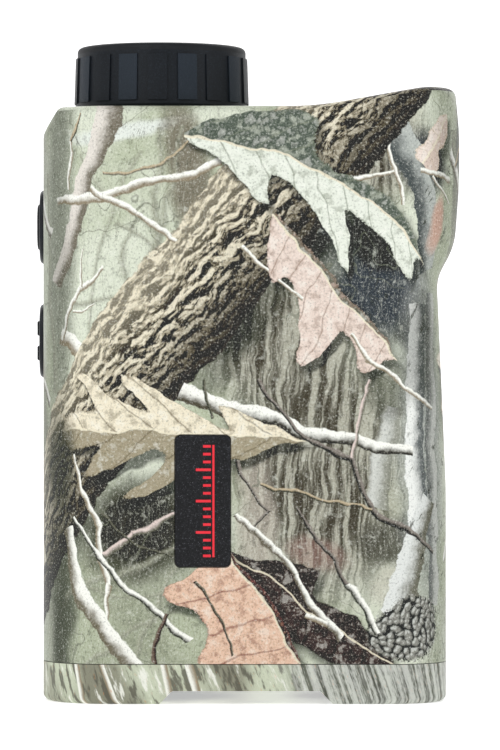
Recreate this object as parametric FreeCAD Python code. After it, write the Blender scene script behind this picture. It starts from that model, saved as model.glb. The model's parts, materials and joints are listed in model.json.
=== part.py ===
import FreeCAD, Part

import math
import os

from FreeCAD import Vector

# Laser rangefinder, a hand-held monocular that measures distance.
# It stands on its objective end: +Z runs along the optical axis from the objective to the eye,
# -X is the face with the keys, +X is the grip face, and Y is the width. Millimetres.
# The origin is the centre of the footprint, on the plane that the front bezel stands on.

# ---- driving dimensions -------------------------------------------------------------------
HALF_WIDTH = 19.0  # the body is 38 wide
KEY_FACE_X = -34.4
KEY_TOP_X = -35.75
GRIP_X = 35.75  # crest of the grip hump, the furthest point on that side
FRONT_RIGHT_X = 33.5
WAIST_X = 31.95
SEAM_Z = 6.6  # top of the front bezel
SHELL_Z = 6.72  # the shells start just above it
REAR_Z = 99.6  # flat part of the rear face
CHAMFER_X = -31.4  # the rear face ends here, and a chamfer slopes down to the key face
CHAMFER_SLOPE = 1.45
CREST_Z = 102.9  # the rear face rises to this over the grip
TOP_Z = 110.5  # rim of the eyecup
WALL = 2.2
KEY_SIDE_CORNER = 11.6
GRIP_SIDE_CORNER = 9.0
RIM_RADIUS = 1.6
HALF_SEAM = 0.06  # half of the parting line between the two shells

OPTIC_X = -14.6  # objective and eyepiece axis
LASER_X = 15.5  # laser collimator axis
BATTERY_X = 19.0
TRIPOD_Z = 24.0
TRIPOD_BORE = 2.55  # tapping radius of a 1/4"-20 thread
TRIPOD_LENGTH = 6.35
STRAP_Z = 92.0
STRAP_X = 34.2

OBJECTIVE_BARREL = 13.0
LASER_BARREL = 9.0
NOTCH_TOP = 2.2  # the bezel is relieved by this much between its two feet
NOTCH_LEFT = -12.5
NOTCH_RIGHT = 12.2
NOTCH_RUN = 2.1  # width of each sloping end
FRONT_SCREW_X = 2.4
FRONT_SCREW_Y = 13.2

EYE_BARREL = 12.4
EYE_BORE = 10.4
RING_BOTTOM = 99.9
RING_TOP = 109.3
RING_RADIUS = 14.6
PAD_COUNT = 18
PAD_WIDTH = 3.3
PAD_RADIUS = 14.9
PAD_LOW = 100.9
PAD_HIGH = 108.6
CAM_Z = 102.8
CAM_LEAD = 7.2  # travel of the ocular cell for one whole turn of the ring
CAM_HALF_ANGLE = 74.0
PIN_RADIUS = 0.9

POWER_Z = 80.0
MODE_Z = 60.6
KEY_STEM_X = -30.65  # inner end of each key's stem

BADGE_X = -7.35
BADGE_Z = 33.8
BADGE_WIDTH = 9.2
BADGE_HEIGHT = 21.9

BOARD_HOLDS = ((2.4, 30.0), (6.0, 56.0), (-19.0, 48.0), (3.5, 84.0))  # X, Z of the right shell's bosses
SADDLE_HOLDS = ((LASER_X, 27.0), (BATTERY_X, 82.0))  # X, Z of the screws into the laser and battery tubes
PLATE_FRONT_Y = 12.3
PLATE_BACK_Y = 13.2
BOARD_FRONT_Y = 14.6
BOARD_BACK_Y = 15.6

UP = Vector(0, 0, 1)
ALONG_X = Vector(1, 0, 0)
ALONG_Y = Vector(0, 1, 0)


# ---- helpers ------------------------------------------------------------------------------
def cylinder(x, y, z_low, z_high, radius):
    return Part.makeCylinder(radius, z_high - z_low, Vector(x, y, z_low), UP)


def rod_x(x_low, x_high, y, z, radius):
    return Part.makeCylinder(radius, x_high - x_low, Vector(x_low, y, z), ALONG_X)


def rod_y(x, y_low, y_high, z, radius):
    return Part.makeCylinder(radius, y_high - y_low, Vector(x, y_low, z), ALONG_Y)


def box(x_low, x_high, y_low, y_high, z_low, z_high):
    return Part.makeBox(x_high - x_low, y_high - y_low, z_high - z_low, Vector(x_low, y_low, z_low))


def ring(x, z_low, z_high, outer, inner):
    return cylinder(x, 0, z_low, z_high, outer).cut(cylinder(x, 0, z_low - 1, z_high + 1, inner))


def outline(corners, place):
    """Closed face through (u, v, radius) corners, each rounded by its radius. place maps u, v to a Vector."""
    points = [Vector(u, v, 0) for u, v, _ in corners]
    starts, ends, middles = [], [], []
    for i, (_, _, radius) in enumerate(corners):
        here = points[i]
        back = (points[i - 1] - here).normalize()
        ahead = (points[(i + 1) % len(points)] - here).normalize()
        half = back.getAngle(ahead) / 2
        reach = radius / math.tan(half) if radius else 0
        starts.append(here + back * reach)
        ends.append(here + ahead * reach)
        if radius:
            towards = (back + ahead).normalize()
            middles.append(here + towards * (radius / math.sin(half) - radius))
        else:
            middles.append(None)
    edges = []
    for i, middle in enumerate(middles):
        if middle is not None:
            edges.append(Part.Arc(*[place(p.x, p.y) for p in (starts[i], middle, ends[i])]).toShape())
        following = starts[(i + 1) % len(starts)]
        if (following - ends[i]).Length > 1e-6:
            edges.append(Part.makeLine(place(ends[i].x, ends[i].y), place(following.x, following.y)))
    return Part.Face(Part.Wire(edges))


def side_prism(corners, y_low, y_high):
    """Outline in X and Z, swept across the width."""
    return outline(corners, lambda u, v: Vector(u, y_low, v)).extrude(ALONG_Y * (y_high - y_low))


def oval_prism(x_low, x_high, z, length, width):
    """Racetrack in Y and Z, longer in Z, swept along X."""
    half, side = length / 2, width / 2
    corners = [(-side, z - half), (side, z - half), (side, z + half), (-side, z + half)]
    rounded = [(y, v, side * 0.98) for y, v in corners]
    return outline(rounded, lambda u, v: Vector(x_low, u, v)).extrude(ALONG_X * (x_high - x_low))


def turned(x, profile):
    """Solid of revolution about the vertical axis at x, from (radius, z) corners."""
    points = [Vector(x + r, 0, z) for r, z in profile]
    wire = Part.makePolygon(points + points[:1])
    return Part.Face(wire).revolve(Vector(x, 0, 0), UP, 360)


def lens(x, radius, z_low, z_high, low_curve, high_curve):
    """Round lens. A positive curve bulges outwards, a negative one is hollow, zero is flat."""
    solid = cylinder(x, 0, z_low, z_high, radius)
    for curve, vertex, inwards in ((low_curve, z_low, 1), (high_curve, z_high, -1)):
        if curve > 0:
            solid = solid.common(Part.makeSphere(curve, Vector(x, 0, vertex + inwards * curve)))
        elif curve < 0:
            solid = solid.cut(Part.makeSphere(-curve, Vector(x, 0, vertex + inwards * curve)))
    return solid


def screw(at, direction, head_radius, head_height, shaft_radius, length):
    """Pan-head screw with a cross recess. at is the seat of the head, direction points along the shaft."""
    head = Part.makeCylinder(head_radius, head_height, Vector(0, 0, 0), UP)
    shaft = Part.makeCylinder(shaft_radius, length, Vector(0, 0, -length), UP)
    slot = box(-head_radius * 0.6, head_radius * 0.6, -0.18, 0.18, head_height * 0.45, head_height + 1)
    cross = slot.fuse(slot.rotated(Vector(0, 0, 0), UP, 90))
    solid = head.fuse(shaft).cut(cross)
    turn = FreeCAD.Rotation(Vector(0, 0, -1), direction)
    solid.Placement = FreeCAD.Placement(at, turn)
    return solid


def edges_where(shape, test):
    return [e for e in shape.Edges if test(e)]


def edge_middle(edge):
    return edge.valueAt((edge.FirstParameter + edge.LastParameter) / 2)


# ---- casing -------------------------------------------------------------------------------
def column(inset):
    """The casing's plan and grip contour over the whole height, drawn in by inset on every side."""
    half = HALF_WIDTH - inset
    left = KEY_FACE_X + inset
    low, high = -2.0, 112.0
    grip = [
        (FRONT_RIGHT_X, low, 0),
        (FRONT_RIGHT_X, 36.0, 90),
        (WAIST_X, 71.0, 7),
        (34.95, 76.5, 12),
        (GRIP_X, 87.0, 60),
        (GRIP_X, 95.5, 40),
        (34.1, high, 0),
    ]
    corners = [(x - inset, z, r) for x, z, r in grip] + [(left, high, 0), (left, low, 0)]
    solid = side_prism(corners, -half, half)

    def on_side(edge):
        p = edge_middle(edge)
        flat_ends = all(abs(v.Point.z - low) < 0.1 or abs(v.Point.z - high) < 0.1 for v in edge.Vertexes)
        level = abs(edge.Vertexes[0].Point.z - edge.Vertexes[-1].Point.z) < 0.1
        return abs(abs(p.y) - half) < 0.01 and not (flat_ends and level)

    key_side = edges_where(solid, lambda e: on_side(e) and edge_middle(e).x < 0)
    solid = solid.makeFillet(KEY_SIDE_CORNER - inset, key_side)
    grip_side = edges_where(solid, lambda e: on_side(e) and edge_middle(e).x > 25)
    return solid.makeFillet(GRIP_SIDE_CORNER - inset, grip_side)


def under_rear(inset):
    """Everything below the rear face: its chamfer, its flat for the eyepiece, and its rise over the grip."""
    reach = 6.0
    corners = [
        (CHAMFER_X - reach, REAR_Z - reach * CHAMFER_SLOPE - inset, 0),
        (CHAMFER_X, REAR_Z - inset, 1.5),
        (11.5, REAR_Z - inset, 50),
        (30.0, CREST_Z - inset, 14),
        (42.0, CREST_Z - inset, 0),
        (42.0, -5.0, 0),
        (CHAMFER_X - reach, -5.0, 0),
    ]
    return side_prism(corners, -25, 25)


def casing(inset, z_low):
    """Casing block from z_low up to the rear face."""
    return column(inset).common(under_rear(inset)).common(box(-50, 50, -30, 30, z_low, 120))


def rounded_casing():
    """The outer block, with the rim of its rear face rounded."""
    block = casing(0, SHELL_Z)
    sides = column(0)
    rear = under_rear(0)

    def on_rim(edge):
        spot = Part.Vertex(edge_middle(edge))
        on_sides = sides.Shells[0].distToShape(spot)[0] < 1e-3
        return on_sides and rear.Shells[0].distToShape(spot)[0] < 1e-3

    return block.makeFillet(RIM_RADIUS, edges_where(block, on_rim))


def key_hole(z):
    return oval_prism(-40, -30, z, 11.3, 8.3)


def shell_cuts():
    """Everything that is cut through the casing wall."""
    return [
        cylinder(OPTIC_X, 0, 90, 105, EYE_BARREL + 0.1),
        cylinder(BATTERY_X, 0, 98.2, 110, 9.6),
        cylinder(BATTERY_X, 0, 90, 110, 8.25),
        key_hole(POWER_Z),
        key_hole(MODE_Z),
        rod_x(20, 40, 0, TRIPOD_Z, 4.4),
        box(31.2, 40, -4.2, 4.2, STRAP_Z - 3.5, STRAP_Z + 3.5),
        rod_y(STRAP_X, -5.7, 5.7, STRAP_Z, 0.92),
    ]


def thickenings():
    """Bosses and collars that stand inside the wall."""
    collar = cylinder(BATTERY_X, 0, 96.4, 110, 11.2)
    tripod = rod_x(26.6, 36, 0, TRIPOD_Z, 6.4)
    strap = box(29.2, 37, -6.4, 6.4, STRAP_Z - 5.6, STRAP_Z + 5.6)
    return collar.fuse([tripod, strap])


def bezel_boss(side):
    """Boss for one front screw, on the shell at that side of the width."""
    low, high = sorted((side * (FRONT_SCREW_Y - 2.6), side * (HALF_WIDTH - 1.6)))
    boss = box(FRONT_SCREW_X - 2.8, FRONT_SCREW_X + 2.8, low, high, 9.6, 20.0)
    return boss.cut(cylinder(FRONT_SCREW_X, side * FRONT_SCREW_Y, 5, 18, 0.75))


def key_board_rails(side):
    """Two slotted ribs inside the key face that hold one long edge of the key board."""
    low, high = sorted((side * 3.9, side * 6.2))
    rails = [box(KEY_FACE_X + 1.5, -26.6, low, high, z, z + 3.8) for z in (71.0, 85.2)]
    return rails[0].fuse(rails[1]).cut(box(-28.4, -27.3, -5.1, 5.1, 49, 90))


def shell_half(outer, inner, side):
    """One half of the casing: side is -1 for the left shell, +1 for the right."""
    wall = outer.cut(inner).fuse(thickenings().common(outer))
    low, high = sorted((side * HALF_SEAM, side * 30.0))
    half = wall.common(box(-50, 50, low, high, 0, 120))
    lip_outer, lip_inner = (0.7, 1.5) if side < 0 else (0.6, 1.6)
    lip_top = 0.8 if side < 0 else 0.95
    band = casing(lip_outer, SHELL_Z + 0.3).cut(casing(lip_inner, SHELL_Z - 5))
    band = band.common(box(-50, 50, -HALF_SEAM - 0.3, lip_top, 0, 120))
    half = half.fuse(band) if side < 0 else half.cut(band)
    half = half.fuse([bezel_boss(side), key_board_rails(side)])
    if side > 0:
        for x, z in BOARD_HOLDS:
            shoulder = rod_y(x, BOARD_BACK_Y, 17.4, z, 3.4)
            stem = rod_y(x, PLATE_BACK_Y + 0.05, BOARD_BACK_Y + 0.4, z, 2.2)
            half = half.fuse([shoulder, stem]).cut(rod_y(x, 12.0, 16.5, z, 0.75))
    half = half.cut(shell_cuts())
    if side < 0:
        half = half.cut(badge_plate(0.0, -18.3, 0.15))
    return half.removeSplitter()


def badge_plate(proud, y_high, grow):
    """Rounded plate in X and Z on the left side, from the face down to y_high."""
    w, h = BADGE_WIDTH / 2 + grow, BADGE_HEIGHT / 2 + grow
    corners = [(BADGE_X - w, BADGE_Z - h), (BADGE_X + w, BADGE_Z - h)]
    corners += [(BADGE_X + w, BADGE_Z + h), (BADGE_X - w, BADGE_Z + h)]
    rounded = [(x, z, 0.9 + grow) for x, z in corners]
    return side_prism(rounded, -HALF_WIDTH - proud - (0.5 if grow else -0.05), y_high)


def badge_scale():
    """A distance scale of raised ticks on the badge: every fourth tick is long."""
    ticks = []
    spacing, count = 1.3, 15
    y_low, y_high = -HALF_WIDTH, -HALF_WIDTH + 0.05
    spine = BADGE_X + 1.35
    for i in range(count):
        z = BADGE_Z + (i - (count - 1) / 2) * spacing
        length = 2.5 if (i - 1) % 4 == 2 else 1.3
        ticks.append(box(spine - length, spine, y_low, y_high, z - 0.22, z + 0.22))
    half = (count - 1) / 2 * spacing + 0.22
    ticks.append(box(spine + 0.25, spine + 0.6, y_low, y_high, BADGE_Z - half, BADGE_Z + half))
    return Part.makeCompound(ticks)


def front_bezel():
    """Front frame: two feet with a relief between them, two lens hoods, and a lip inside the shells."""
    block = column(0).common(box(-50, 50, -30, 30, 0, SEAM_Z))
    floor = edges_where(block, lambda e: all(abs(v.Point.z) < 1e-3 for v in e.Vertexes))
    block = block.makeFillet(1.2, floor)
    lip = column(WALL + 0.1).cut(column(WALL + 1.3)).common(box(-50, 50, -30, 30, 5.0, 9.3))
    notch = [
        (NOTCH_LEFT - NOTCH_RUN - 0.2, -1.0, 0),
        (NOTCH_LEFT - NOTCH_RUN, 0.0, 0.6),
        (NOTCH_LEFT, NOTCH_TOP, 0.6),
        (NOTCH_RIGHT, NOTCH_TOP, 0.6),
        (NOTCH_RIGHT + NOTCH_RUN, 0.0, 0.6),
        (NOTCH_RIGHT + NOTCH_RUN + 0.2, -1.0, 0),
    ]
    relief = side_prism(notch, -25, 25)
    pocket = column(WALL + 1.3).common(box(-50, 50, -30, 30, 4.2, 12))
    kept = [cylinder(OPTIC_X, 0, 0, 12, 14.8), cylinder(LASER_X, 0, 0, 12, 10.8)]
    kept += [cylinder(FRONT_SCREW_X, side * FRONT_SCREW_Y, 0, 12, 2.6) for side in (-1, 1)]
    pocket = pocket.cut(kept)
    bezel = block.cut(pocket).fuse(lip)
    cuts = [relief, gasket_ring(0.0)]
    hoods = ((OPTIC_X, OBJECTIVE_BARREL, 12.7, 11.7), (LASER_X, LASER_BARREL, 8.7, 7.8))
    for x, barrel, hood, throat in hoods:
        cuts.append(cylinder(x, 0, 4.0, 12, barrel + 0.15))
        cuts.append(turned(x, [(0, -1), (hood + 0.25, -1), (throat, 4.0), (throat, 5.0), (0, 5.0)]))
    for side in (-1, 1):
        cuts.append(cylinder(FRONT_SCREW_X, side * FRONT_SCREW_Y, -1, 12, 1.1))
        cuts.append(cylinder(FRONT_SCREW_X, side * FRONT_SCREW_Y, -1, 3.6, 2.05))
    return bezel.cut(cuts).removeSplitter()


def gasket_ring(slack):
    """Seal between the bezel and the shells, in a groove 0.55 deep."""
    ring_band = column(0.8 + slack).cut(column(1.6 - slack))
    return ring_band.common(box(-50, 50, -30, 30, SEAM_Z - 0.55, SHELL_Z))


# ---- front optics -------------------------------------------------------------------------
def objective_barrel():
    profile = [
        (11.55, 4.1), (OBJECTIVE_BARREL, 4.1), (OBJECTIVE_BARREL, 14.0), (12.0, 15.0), (12.0, 44.5),
        (10.2, 44.5), (10.2, 13.1), (11.55, 13.1),
    ]
    solid = turned(OPTIC_X, profile)
    groove = ring(OPTIC_X, 5.3, 6.3, 14, 12.3)
    return solid.cut(groove)


def laser_barrel():
    profile = [
        (7.55, 4.1), (LASER_BARREL, 4.1), (LASER_BARREL, 36.0), (7.6, 38.0), (7.6, 43.95), (6.4, 43.95),
        (6.4, 42.0), (2.95, 42.0), (2.95, 39.0), (6.6, 38.0), (6.6, 10.2), (7.55, 10.2),
    ]
    solid = turned(LASER_X, profile).cut(ring(LASER_X, 5.3, 6.3, 10, 8.3))
    return solid.fuse(saddle(*SADDLE_HOLDS[0], 7.6))


def saddle(x, z, inner_radius):
    """Block on the side of a tube that takes a screw from the chassis plate."""
    block = box(x - 4, x + 4, 0, PLATE_FRONT_Y, z - 3, z + 3).cut(cylinder(x, 0, z - 4, z + 4, inner_radius))
    return block.cut(rod_y(x, 10.0, 14, z, 0.75))


def laser_diode():
    can = cylinder(LASER_X, 0, 37.6, 41.0, 2.3).fuse(cylinder(LASER_X, 0, 41.0, 42.1, 2.8))
    pins = [cylinder(LASER_X + x, y, 42.1, 46.4, 0.25) for x, y in ((-1.2, 0), (1.2, 0), (0, 1.2))]
    return can.fuse(pins)


def laser_board():
    board = box(LASER_X - 7, LASER_X + 7, -7, 7, 44.0, 45.2)
    holes = [cylinder(LASER_X + x, y, 43, 47, 0.3) for x, y in ((-1.2, 0), (1.2, 0), (0, 1.2))]
    return board.cut(holes)


# ---- prism and receiver -------------------------------------------------------------------
PRISM_Z = 48.0  # entry face of the first prism
GAP_START = 6.1
RECEIVER_Z = 58.0


def prism_block(corners, half_depth):
    placed = [(OPTIC_X + x, PRISM_Z + z, 0) for x, z in corners]
    return side_prism(placed, -half_depth, half_depth)


def half_penta_prism():
    """First prism: flat entry face, a 22.5 degree mirror on the grip side, and the 45 degree gap face."""
    return prism_block([(-5.5, 0), (GAP_START, 0), (12.8, 16.2), (12.8, 18.9), (-5.5, 0.6)], 6.5)


def roof_prism():
    """Second prism: an isosceles block behind the 45 degree gap, its short face cut to a roof."""
    solid = prism_block([(13.0, 19.5), (-9.5, 19.5), (-2.85, 3.45)], 6.5)
    lean = Vector(-0.383, 0, 0.924)
    outwards = Vector(-0.924, 0, -0.383)
    ridge = Vector(OPTIC_X - 6.2, 0, PRISM_Z + 11.5) + outwards * 0.02
    for side in (-1, 1):
        normal = (outwards + ALONG_Y * side).normalize()
        across = lean.cross(normal)
        cutter = Part.makeBox(60, 60, 20)
        frame = FreeCAD.Matrix(
            lean.x, across.x, normal.x, ridge.x - 30 * (lean.x + across.x),
            lean.y, across.y, normal.y, ridge.y - 30 * (lean.y + across.y),
            lean.z, across.z, normal.z, ridge.z - 30 * (lean.z + across.z),
        )
        solid = solid.cut(cutter.transformGeometry(frame))
    return solid


def prism_housing():
    x_low, x_high = OPTIC_X - 12.8, OPTIC_X + 16.4
    body = box(x_low, x_high, -8.4, 8.4, 44.6, 70.2)
    body = body.cut(box(OPTIC_X - 11.2, OPTIC_X + 14.6, -12, 6.7, 46.6, 68.4))
    nose = rod_x(x_high - 0.2, 7.15, 0, RECEIVER_Z, 4.2)
    ear = box(x_high - 3, x_high + 6.4, 6.9, PLATE_FRONT_Y, 53.0, 59.0)
    ear = ear.cut(box(x_high, x_high + 8, 6, 11.1, 52, 60))
    bores = [
        cylinder(OPTIC_X, 0, 40, 75, 5.2),
        rod_x(0, 4, 0, RECEIVER_Z, 1.6),
        rod_x(3.5, 8, 0, RECEIVER_Z, 2.9),
        rod_y(6.0, 9, 14, 56.0, 1.05),
    ]
    return body.fuse([nose, ear]).cut(bores).removeSplitter()


def prism_cover():
    return box(OPTIC_X - 11.0, OPTIC_X + 14.4, -8.4, -7.2, 46.8, 68.2)


def prism_clips():
    """Two leaf springs that press the prisms against the back of their housing."""
    clips = []
    for x, z in ((OPTIC_X + 4.0, 52.0), (OPTIC_X + 1.0, 63.5)):
        clips.append(box(x - 4, x + 4, -7.15, -6.85, z - 1.5, z + 1.5))
        clips.append(box(x - 1, x + 1, -6.85, -6.55, z - 1.5, z + 1.5))
    clips = [clips[0].fuse(clips[1]), clips[2].fuse(clips[3])]
    return Part.makeCompound(clips)


def receiver_diode():
    can = rod_x(3.6, 5.8, 0, RECEIVER_Z, 2.4).fuse(rod_x(5.8, 6.4, 0, RECEIVER_Z, 2.8))
    return can.fuse([rod_x(6.4, 9.2, y, RECEIVER_Z, 0.22) for y in (-1.2, 1.2)])


def receiver_board():
    board = box(7.2, 8.2, -8.0, 8.0, 47.6, 61.4)
    return board.cut([rod_x(7, 9, y, RECEIVER_Z, 0.28) for y in (-1.2, 1.2)])


# ---- display ------------------------------------------------------------------------------
def display_holder():
    """Round carrier between the prism housing and the eyepiece barrel, slotted for the display."""
    frame = cylinder(OPTIC_X, 0, 70.25, 76.6, 12.2)
    frame = frame.cut(box(OPTIC_X - 7.1, OPTIC_X + 7.1, -7.1, 14, 73.0, 74.5))
    return frame.cut(cylinder(OPTIC_X, 0, 69, 78, 5.6))


def display_flex():
    """Ribbon from the display to the main board: out at the side, then down to its socket."""
    out = box(OPTIC_X - 4, OPTIC_X + 4, 7.1, 13.9, 73.5, 73.7)
    down = box(OPTIC_X - 4, OPTIC_X + 4, 13.7, 13.9, 66.0, 73.6)
    return out.fuse(down).removeSplitter()


# ---- eyepiece -----------------------------------------------------------------------------
def eyepiece_barrel():
    """Tube from the display carrier to the eye, held by its flange, with a straight slot for the cam pin."""
    profile = [
        (EYE_BORE, 76.65), (12.2, 76.65), (12.2, 95.4), (15.2, 95.4), (15.2, 97.35), (EYE_BARREL, 97.35),
        (EYE_BARREL, 105.95), (11.9, 105.95), (11.9, 106.6), (EYE_BARREL, 106.6), (EYE_BARREL, 107.0),
        (EYE_BORE, 107.0),
    ]
    slot = box(OPTIC_X + 10, OPTIC_X + 13, -1.0, 1.0, CAM_Z - 2.4, CAM_Z + 2.4)
    return turned(OPTIC_X, profile).cut(slot)


def ocular_cell():
    profile = [
        (9.28, 93.0), (10.3, 93.0), (10.3, 105.5), (9.28, 105.5), (9.28, 100.4),
        (8.5, 100.4), (8.5, 97.6), (9.28, 97.6),
    ]
    return turned(OPTIC_X, profile).cut(rod_x(OPTIC_X + 9, OPTIC_X + 11, 0, CAM_Z, PIN_RADIUS + 0.03))


def cam_groove():
    """Helical groove in the ring's bore, centred on the cam pin."""
    height = CAM_LEAD * 2 * CAM_HALF_ANGLE / 360
    helix = Part.makeHelix(CAM_LEAD, height, 12.9)
    start = Vector(12.9, 0, 0)
    rise = math.atan2(CAM_LEAD, 2 * math.pi * 12.9)
    heading = Vector(0, math.cos(rise), math.sin(rise))
    section = Part.Wire(Part.makeCircle(PIN_RADIUS + 0.2, start, heading))
    groove = Part.Wire(helix.Edges).makePipeShell([section], True, True)
    groove.rotate(Vector(0, 0, 0), UP, -CAM_HALF_ANGLE)
    groove.translate(Vector(OPTIC_X, 0, CAM_Z - height / 2))
    return groove


def diopter_ring():
    """Focusing ring: raised grip pads outside, a cam groove inside."""
    bore = EYE_BARREL + 0.15
    slim = RING_RADIUS - 0.25
    profile = [
        (bore, RING_BOTTOM), (RING_RADIUS - 0.3, RING_BOTTOM), (RING_RADIUS, RING_BOTTOM + 0.35),
        (slim, RING_TOP), (13.6, RING_TOP), (13.6, 105.8), (bore, 105.8),
    ]
    proud = PAD_RADIUS - RING_RADIUS
    band_profile = [(14.0, PAD_LOW), (PAD_RADIUS, PAD_LOW), (slim + proud, PAD_HIGH), (14.0, PAD_HIGH)]
    band = turned(OPTIC_X, band_profile)
    sectors = []
    for i in range(PAD_COUNT):
        sector = box(12, 17, -PAD_WIDTH / 2, PAD_WIDTH / 2, PAD_LOW - 1, PAD_HIGH + 1)
        sector.rotate(Vector(0, 0, 0), UP, i * 360 / PAD_COUNT - 91.5)
        sector.translate(Vector(OPTIC_X, 0, 0))
        sectors.append(sector)
    pads = band.common(Part.makeCompound(sectors))
    return turned(OPTIC_X, profile).fuse(pads.Solids).cut(cam_groove())


def eyecup():
    """Rubber cup pressed into the top of the ring, with a rounded rim and a funnel towards the eye lens."""
    profile = [
        (10.7, 107.2), (13.55, 107.2), (13.55, RING_TOP), (14.35, RING_TOP), (14.35, TOP_Z), (12.4, TOP_Z),
    ]
    solid = turned(OPTIC_X, profile)
    return solid.makeFillet(0.85, edges_where(solid, lambda e: edge_middle(e).z > TOP_Z - 1e-3))


def ring_clip():
    """Open clip in the barrel's groove that keeps the ring on."""
    return ring(OPTIC_X, 106.0, 106.55, 13.3, 11.95).cut(box(OPTIC_X - 20, OPTIC_X, -2.5, 2.5, 100, 110))


# ---- keys ---------------------------------------------------------------------------------
def key_surround(z):
    """Oval trim that stands proud of the key face, with its neck in the wall."""
    face = KEY_FACE_X - 0.9
    flange = oval_prism(face, KEY_FACE_X, z, 12.5, 9.5)
    rim = edges_where(flange, lambda e: all(abs(v.Point.x - face) < 1e-3 for v in e.Vertexes))
    flange = flange.makeFillet(0.6, rim)
    neck = oval_prism(KEY_FACE_X - 0.2, KEY_FACE_X + 1.9, z, 11.2, 8.2)
    return flange.fuse(neck).cut(oval_prism(-40, -30, z, 8.2, 6.4)).removeSplitter()


def key_stem(z):
    flange = oval_prism(KEY_FACE_X + 2.3, KEY_FACE_X + 3.0, z, 9.6, 7.6)
    return flange.fuse(rod_x(KEY_FACE_X + 2.9, KEY_STEM_X, 0, z, 1.3))


def power_key():
    """Plain domed key."""
    cap = oval_prism(KEY_TOP_X, KEY_FACE_X + 2.6, POWER_Z, 7.8, 6.0)
    face = edges_where(cap, lambda e: all(abs(v.Point.x - KEY_TOP_X) < 1e-3 for v in e.Vertexes))
    return cap.makeFillet(0.4, face).fuse(key_stem(POWER_Z)).removeSplitter()


def mode_key():
    """Key with two cross ribs, which a thumb can tell from the power key."""
    cap = oval_prism(KEY_FACE_X - 0.85, KEY_FACE_X + 2.6, MODE_Z, 7.8, 6.0)
    ribs = []
    for offset in (-2.1, 2.1):
        rib = box(KEY_TOP_X, KEY_FACE_X, -2.0, 2.0, MODE_Z + offset - 1.25, MODE_Z + offset + 1.25)
        tip = edges_where(rib, lambda e: all(abs(v.Point.x - KEY_TOP_X) < 1e-3 for v in e.Vertexes))
        ribs.append(rib.makeFillet(0.3, tip))
    return cap.fuse(ribs).fuse(key_stem(MODE_Z)).removeSplitter()


def switch_body(z):
    body = box(-30.1, -28.35, -2.6, 2.6, z - 2.6, z + 2.6)
    return body.cut(rod_x(-31, -28.6, 0, z, 1.1))


def switch_plunger(z):
    return rod_x(KEY_STEM_X + 0.03, -29.2, 0, z, 1.0)


# ---- battery ------------------------------------------------------------------------------
def battery():
    """CR2 cell, 15.6 across and 27 long."""
    cell = cylinder(BATTERY_X, 0, 67.4, 93.8, 7.8)
    return cell.fuse(cylinder(BATTERY_X, 0, 93.8, 94.4, 3.2))


def battery_tube():
    profile = [(0, 61.8), (9.4, 61.8), (9.4, 96.3), (8.25, 96.3), (8.25, 63.2), (0, 63.2)]
    return turned(BATTERY_X, profile).fuse(saddle(*SADDLE_HOLDS[1], 8.8))


def battery_spring():
    helix = Part.makeHelix(1.34, 3.35, 4.0)
    section = Part.Wire(Part.makeCircle(0.35, Vector(4.0, 0, 0), ALONG_Y))
    spring = Part.Wire(helix.Edges).makePipeShell([section], True, True)
    spring.translate(Vector(BATTERY_X, 0, 63.6))
    return spring


def battery_cap():
    neck = turned(
        BATTERY_X,
        [(0, 95.0), (8.17, 95.0), (8.17, 97.0), (7.5, 97.0), (7.5, 97.8), (8.17, 97.8), (8.17, 98.25),
         (9.4, 98.25), (9.4, REAR_Z - 0.3), (9.1, REAR_Z), (0, REAR_Z)],
    )
    cuts = [box(BATTERY_X - 6.5, BATTERY_X + 6.5, -0.9, 0.9, 99.0, 101)]
    for i in range(16):
        angle = math.radians(i * 360 / 16)
        cuts.append(cylinder(BATTERY_X + 9.7 * math.cos(angle), 9.7 * math.sin(angle), 98.7, 101, 0.6))
    return neck.cut(cuts)


def battery_cap_seal():
    return Part.makeTorus(7.86, 0.34, Vector(BATTERY_X, 0, 97.4), UP)


# ---- electronics and chassis --------------------------------------------------------------
def chassis_plate():
    """Sheet that ties the barrels together, screwed to the right shell's bosses."""
    plate = box(-25.0, 26.0, PLATE_FRONT_Y, PLATE_BACK_Y, 21.0, 88.0)
    window = box(OPTIC_X - 5, OPTIC_X + 5, 12, 14, 64.5, 75.0)
    lightening = box(12.0, 23.0, 12, 14, 50.0, 76.0)
    holes = [rod_y(x, 12, 14, z, 1.05) for x, z in BOARD_HOLDS + SADDLE_HOLDS]
    return plate.cut([window, lightening] + holes)


def main_board():
    board = box(-23.5, 25.0, BOARD_FRONT_Y, BOARD_BACK_Y, 22.0, 88.0)
    return board.cut([rod_y(x, 14, 16, z, 2.4) for x, z in BOARD_HOLDS])


def board_chips():
    """Processor, display driver, timing chip, inductors and the display's socket, by X, Z and half sizes."""
    places = [
        (14.0, 40.0, 4.5, 4.5),
        (-8.0, 26.5, 3.0, 2.0),
        (-10.0, 54.0, 3.5, 3.5),
        (-16.0, 34.0, 3.0, 4.0),
        (2.0, 70.0, 2.5, 2.0),
        (10.0, 62.0, 2.0, 2.0),
        (OPTIC_X, 64.5, 5.0, 1.4),
    ]
    return Part.makeCompound([box(x - w, x + w, 13.5, BOARD_FRONT_Y, z - h, z + h) for x, z, w, h in places])


def key_board():
    return box(-28.3, -27.4, -5.0, 5.0, 50.0, 88.8)


def chassis_screws():
    """Four screws into the right shell, one through the prism housing's ear, and two into the saddles."""
    screws = []
    for x, z in BOARD_HOLDS:
        seat = 11.1 if (x, z) == BOARD_HOLDS[1] else PLATE_FRONT_Y
        screws.append(screw(Vector(x, seat, z), ALONG_Y, 1.7, 1.0, 0.7, 15.9 - seat))
    for x, z in SADDLE_HOLDS:
        screws.append(screw(Vector(x, PLATE_BACK_Y, z), -ALONG_Y, 1.7, 1.0, 0.7, 3.0))
    return Part.makeCompound(screws)


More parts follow.
